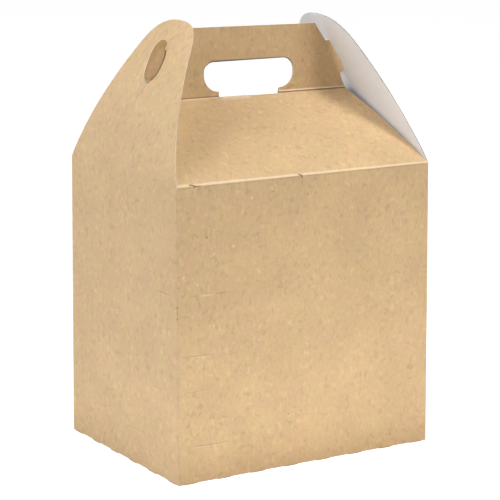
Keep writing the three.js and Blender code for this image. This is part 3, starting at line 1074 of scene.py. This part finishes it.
def base_fold_lips():
    """Geometry Nodes: a lip at every spacing along the four base folds, as one plain mesh."""
    inset = LIP_LENGTH / 2 + 0.8  # so that no lip runs past a corner
    corners = [(-SIDE_X, -END_Y), (SIDE_X, -END_Y), (SIDE_X, END_Y), (-SIDE_X, END_Y)]
    points, runs = [], []
    for (ax, ay), (bx, by) in zip(corners, corners[1:] + corners[:1]):
        length = math.hypot(bx - ax, by - ay)
        step_x, step_y = (bx - ax) / length * inset, (by - ay) / length * inset
        runs.append((len(points), len(points) + 1))
        points += [((ax + step_x) * MM, (ay + step_y) * MM, 0), ((bx - step_x) * MM, (by - step_y) * MM, 0)]
    lines = bpy.data.meshes.new("base_fold_lines")
    lines.from_pydata(points, runs, [])
    folds = bpy.data.objects.new("base_fold_lines", lines)
    bpy.context.scene.collection.objects.link(folds)

    tree = bpy.data.node_groups.new("lips_along_folds", "GeometryNodeTree")
    tree.interface.new_socket("Fold lines", in_out="INPUT", socket_type="NodeSocketGeometry")
    sizes = {}
    for name in ("Lip spacing", "Lip length", "Lip height", "Board"):
        sizes[name] = tree.interface.new_socket(name, in_out="INPUT", socket_type="NodeSocketFloat").identifier
    tree.interface.new_socket("Lips", in_out="OUTPUT", socket_type="NodeSocketGeometry")
    given = add(tree, "NodeGroupInput").outputs
    curve = add(tree, "GeometryNodeMeshToCurve", {"Mesh": given["Fold lines"]}).outputs[0]
    spaced = add(
        tree, "GeometryNodeResampleCurve", {"Curve": curve, "Length": given["Lip spacing"]}, mode="LENGTH"
    ).outputs[0]

    # One lip: a strip of board that hangs from its top edge and is rounded off at both ends
    bar_size = add(
        tree, "ShaderNodeCombineXYZ", {0: given["Lip length"], 1: given["Board"], 2: given["Lip height"]}
    ).outputs[0]
    bar = add(
        tree, "GeometryNodeMeshCube", {"Size": bar_size, "Vertices X": 17, "Vertices Y": 2, "Vertices Z": 6}
    ).outputs["Mesh"]
    place = add(tree, "GeometryNodeInputPosition").outputs[0]
    parts = add(tree, "ShaderNodeSeparateXYZ", {0: place}).outputs
    along = add(tree, "ShaderNodeMath", {0: parts["X"], 1: given["Lip length"]}, operation="DIVIDE").outputs[0]
    doubled = add(tree, "ShaderNodeMath", {0: along, 1: 2.0}, operation="MULTIPLY").outputs[0]
    square = add(tree, "ShaderNodeMath", {0: doubled, 1: 2.0}, operation="POWER").outputs[0]
    steep = add(tree, "ShaderNodeMath", {0: square, 1: 3.0}, operation="POWER").outputs[0]
    below = add(tree, "ShaderNodeMath", {0: parts["Z"], 1: given["Lip height"]}, operation="DIVIDE").outputs[0]
    from_top = add(tree, "ShaderNodeMath", {0: 0.5, 1: below}, operation="SUBTRACT").outputs[0]
    lift = add(tree, "ShaderNodeMath", {0: from_top, 1: steep}, operation="MULTIPLY").outputs[0]
    lift = add(tree, "ShaderNodeMath", {0: lift, 1: given["Lip height"]}, operation="MULTIPLY").outputs[0]
    lift = add(tree, "ShaderNodeMath", {0: lift, 1: 0.8}, operation="MULTIPLY").outputs[0]
    offset = add(tree, "ShaderNodeCombineXYZ", {2: lift}).outputs[0]
    lip = add(tree, "GeometryNodeSetPosition", {"Geometry": bar, "Offset": offset}).outputs[0]

    tangent = add(tree, "GeometryNodeInputTangent").outputs[0]
    turn = add(tree, "FunctionNodeAlignRotationToVector", {"Vector": tangent}, axis="X").outputs[0]
    lips = add(
        tree, "GeometryNodeInstanceOnPoints", {"Points": spaced, "Instance": lip, "Rotation": turn}
    ).outputs[0]
    plain = add(tree, "GeometryNodeRealizeInstances", {"Geometry": lips}).outputs[0]
    done = add(tree, "GeometryNodeSetMaterial", {"Geometry": plain, "Material": kraft}).outputs[0]
    add(tree, "NodeGroupOutput", {"Lips": done})

    modifier = folds.modifiers.new("lips", "NODES")
    modifier.node_group = tree
    values = {"Lip spacing": LIP_SPACING, "Lip length": LIP_LENGTH, "Lip height": LIP_HEIGHT, "Board": BOARD - 0.06}
    for name, value in values.items():
        modifier[sizes[name]] = value * MM
    evaluated = folds.evaluated_get(bpy.context.evaluated_depsgraph_get())
    made = bpy.data.meshes.new_from_object(evaluated)
    folds.modifiers.remove(modifier)
    bpy.data.objects.remove(folds)

    count = len(made.vertices)
    places = np.zeros(count * 3)
    made.vertices.foreach_get("co", places)
    places = settled(places.reshape(-1, 3) / MM)
    places[:, 2] -= places[:, 2].min()
    made.vertices.foreach_set("co", (places * MM).ravel())
    corners = np.zeros(len(made.loops), int)
    made.loops.foreach_get("vertex_index", corners)
    on_board = np.stack((places[:, 0] + places[:, 1], places[:, 2]), axis=1) * MM
    made.uv_layers.new(name="blank").data.foreach_set("uv", on_board[corners].ravel())
    # Painted shade at the foot of each lip, darker towards the table
    painted_contact_shade = made.attributes.new("crease_dark", "FLOAT", "POINT")
    painted_contact_shade.data.foreach_set("value", 0.75 * np.clip(1.1 - places[:, 2] / 0.6, 0, 1))
    made.shade_smooth()
    made.set_sharp_from_angle(angle=math.radians(38))
    piece = bpy.data.objects.new("base_fold_lips", made)
    bpy.context.scene.collection.objects.link(piece)
    return piece


lips = base_fold_lips()


# Ears


def ear_profile_x(rise):
    """How far in from the wall the ear's middle lies at each height over the hinge."""
    foot_slope = math.tan(EAR_LEAN_AT_FOLD)
    tip_slope = math.tan(EAR_LEAN_AT_TIP)
    bend = (tip_slope - foot_slope) / (2 * EAR_HEIGHT)
    span = EAR_SOFT_BEND + EAR_START
    turned = np.clip(rise + EAR_START, 0, span)
    beyond = np.clip(rise - EAR_SOFT_BEND, 0, None)
    return foot_slope * (turned**2 / (2 * span) + beyond) + bend * np.clip(rise, 0, None) ** 2


def ear_side(foot_half, bow, round_upper):
    """One side edge of an ear and its half of the rounded top, from the foot up."""
    foot = np.array((foot_half, 0.3))
    shoulder = np.array((EAR_SHOULDER_LENGTH / 2, EAR_SHOULDER_HEIGHT))
    way = shoulder - foot
    pull = shoulder + way / np.linalg.norm(way) * EAR_ROUND_LOWER
    top = bezier_line(shoulder, pull, (round_upper, EAR_HEIGHT), (0.0, EAR_HEIGHT))
    edge = bowed_line(foot, shoulder, -bow, 16)
    start = [(ear_half, -EAR_START), (ear_half, -0.3), tuple(foot)]
    return start + [tuple(p) for p in (*edge, shoulder, *top)]


def ear_outline(side):
    """An ear about its wall's middle: nearly straight sides up to the shoulders, then a rounded top."""
    foot_half = EAR_FOOT_HALF[side > 0]
    front_round, back_round = EAR_ROUND_UPPER[side > 0]
    front = ear_side(foot_half, 0.0, front_round)
    back = ear_side(foot_half, EAR_BACK_BOW, back_round)
    right_side, left_side = (back, front) if side > 0 else (front, back)
    return right_side + [(-y, rise) for y, rise in reversed(left_side[:-1])]


def ear_marks(wall_middle, grey):
    """An ear's outer cut edge is painted grey by a share; the rim of its hole keeps the plain cut-edge colour."""

    def marks(flats):
        around_hole = np.hypot((flats[:, 0] - wall_middle) / 14, (flats[:, 1] - HINGE_Z - 70) / 18)
        return {"edge_grey": np.where(around_hole > 1, grey, 0.0)}

    return marks


def ear(name, side, wall_middle):
    """An ear of the left (-1) or right (1) wall, drawn about the wall's middle and bent inwards."""

    def bent(s, v):
        rise = v - HINGE_Z
        inward = ear_profile_x(rise)
        slope = (ear_profile_x(rise + 0.05) - ear_profile_x(rise - 0.05)) / 0.1
        size = np.sqrt(1 + slope**2)
        along = s - wall_middle
        sway = EAR_SWAY[side > 0] * np.clip(rise / SWAY_RISE, 0, 1)
        place = np.stack((side * (SIDE_X - inward) + sway, side * along, HINGE_Z + rise), axis=1)
        facing = np.stack((side / size, 0 * rise, slope / size), axis=1)
        return place, facing

    sheet = Sheet()
    on_wall = lambda outline: [(wall_middle + y, HINGE_Z + rise) for y, rise in outline]
    sheet.panel(on_wall(ear_outline(side)), bent)
    sheet.hole(on_wall([(side * y, rise) for y, rise in smooth_ring(EAR_HOLES[side > 0])]))
    sheet.rows(wall_middle - 80, wall_middle + 80, HINGE_Z + np.arange(-EAR_START + 0.25, EAR_START + 0.1, 0.25))
    sheet.rows(wall_middle - 80, wall_middle + 80, HINGE_Z + np.arange(2.5, EAR_HEIGHT, 2.5))
    sheet.columns(HINGE_Z - 5, HINGE_Z + EAR_HEIGHT + 5, wall_middle + np.linspace(-75, 75, 39))
    return sheet.mesh(name, board_materials, ear_marks(wall_middle, EDGE_GREY[side > 0]))


left_ear = ear("left_ear_board", -1, LEFT_S)
right_ear = ear("right_ear_board", 1, RIGHT_S)

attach(carton, "carton")
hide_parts("carton_body")
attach(lips, "carton")
for piece, side, body in ((left_ear, -1, "left_ear"), (right_ear, 1, "right_ear")):
    hinge_x = side * SIDE_X * MM
    start = (hinge_x, 0, (HINGE_Z - EAR_START) * MM)
    end = (hinge_x, 0, (HINGE_Z + EAR_START) * MM)
    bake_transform(piece)
    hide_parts(body)


# Floor, light and camera


def floor_material():
    """Plain white studio floor: the camera sees it as the white background, with the box's soft shadow."""
    material, tree = new_material("white_floor")
    rays = add(tree, "ShaderNodeLightPath").outputs
    seen = add(
        tree, "ShaderNodeMath", {0: rays["Is Camera Ray"], 1: rays["Is Glossy Ray"]}, operation="MAXIMUM"
    ).outputs[0]
    seen = add(tree, "ShaderNodeMath", {0: seen, 1: rays["Is Transmission Ray"]}, operation="MAXIMUM").outputs[0]
    grey = add(tree, "ShaderNodeMapRange", {"Value": seen, "To Min": 0.9, "To Max": 0.3}).outputs["Result"]
    paint = add(tree, "ShaderNodeBsdfDiffuse", {"Color": grey}).outputs[0]
    glow_level = add(tree, "ShaderNodeMath", {0: seen, 1: 0.93}, operation="MULTIPLY").outputs[0]
    glow = add(tree, "ShaderNodeEmission", {"Color": (1, 1, 1, 1), "Strength": glow_level}).outputs[0]
    mixed = add(tree, "ShaderNodeAddShader", {0: paint, 1: glow}).outputs[0]
    add(tree, "ShaderNodeOutputMaterial", {"Surface": mixed})
    return material


FLOOR_HALF = 4.0
floor_mesh = bpy.data.meshes.new("floor")
floor_corners = [(-FLOOR_HALF, -FLOOR_HALF, 0), (FLOOR_HALF, -FLOOR_HALF, 0)]
floor_corners += [(FLOOR_HALF, FLOOR_HALF, 0), (-FLOOR_HALF, FLOOR_HALF, 0)]
floor_mesh.from_pydata(floor_corners, [], [(0, 1, 2, 3)])
floor_mesh.materials.append(floor_material())
floor = bpy.data.objects.new("floor", floor_mesh)
bpy.context.scene.collection.objects.link(floor)


def world_light(strength):
    """White all round: the camera sees plain white, the box is lit by a softer share of it."""
    world = bpy.data.worlds.new("studio")
    world.use_nodes = True
    tree = world.node_tree
    tree.nodes.clear()
    rays = add(tree, "ShaderNodeLightPath").outputs
    seen = add(
        tree, "ShaderNodeMath", {0: rays["Is Camera Ray"], 1: rays["Is Glossy Ray"]}, operation="MAXIMUM"
    ).outputs[0]
    seen = add(tree, "ShaderNodeMath", {0: seen, 1: rays["Is Transmission Ray"]}, operation="MAXIMUM").outputs[0]
    shown = add(
        tree, "ShaderNodeMapRange", {"Value": seen, "To Min": strength, "To Max": 1.0}
    ).outputs["Result"]
    sky = add(tree, "ShaderNodeBackground", {"Color": (1, 1, 1, 1), "Strength": shown}).outputs[0]
    add(tree, "ShaderNodeOutputWorld", {"Surface": sky})
    bpy.context.scene.world = world


COOL_DAYLIGHT = (0.94, 1.0, 1.12)


def soft_light(name, place, target, size, power, spread=180, colour=(1.0, 1.0, 1.0)):
    """A rectangular soft box at a place, turned towards a target, all in metres, watts and degrees."""
    lamp = bpy.data.lights.new(name, "AREA")
    lamp.shape = "RECTANGLE"
    lamp.size, lamp.size_y = size
    lamp.energy = power
    lamp.spread = math.radians(spread)
    lamp.color = colour
    light = bpy.data.objects.new(name, lamp)
    light.location = place
    light.rotation_euler = (Vector(target) - Vector(place)).to_track_quat("-Z", "Y").to_euler()
    light.visible_camera = False
    bpy.context.scene.collection.objects.link(light)


world_light(0.16)
BOX_MIDDLE = (0.0, 0.0, 0.15)
soft_light("big_left", (-1.697, 0.0, 1.847), BOX_MIDDLE, (1.3, 1.3), 30.5, colour=COOL_DAYLIGHT)
soft_light("front_over_table", (0.1, -0.5, 1.4), (0.05, -0.2, 0.0), (0.4, 0.4), 0.92, 45)
soft_light("low_front_right", (1.375, -1.965, 0.234), BOX_MIDDLE, (0.6, 0.5), 10.5)
soft_light("back", (0.0, 1.543, 1.989), BOX_MIDDLE, (1.3, 1.3), 8)
soft_light("right_back", (2.178, 0.793, 0.771), BOX_MIDDLE, (1.3, 1.3), 12)
soft_light("low_left_back", (-1.90, 1.33, 0.77), BOX_MIDDLE, (1.3, 1.3), 7.8, colour=COOL_DAYLIGHT)
# The lit table round the box throws light up the feet of the two walls
soft_light("table_front", (0.0, -0.18, 0.004), (0.0, -0.18, 1.0), (0.3, 0.14), 0.12, colour=COOL_DAYLIGHT)
soft_light("table_left", (-0.20, 0.0, 0.004), (-0.20, 0.0, 1.0), (0.14, 0.26), 0.04, colour=COOL_DAYLIGHT)

camera_data = bpy.data.cameras.new("photo_camera")
camera_data.lens = 145.17
camera_data.sensor_width = 36.0
camera = bpy.data.objects.new("photo_camera", camera_data)
camera.location = (-0.7369, -1.2080, 0.4275)
camera.rotation_euler = (math.radians(78.416), 0.0, math.radians(-31.439))
bpy.context.scene.collection.objects.link(camera)
bpy.context.scene.camera = camera
bpy.context.scene.view_settings.view_transform = "Standard"
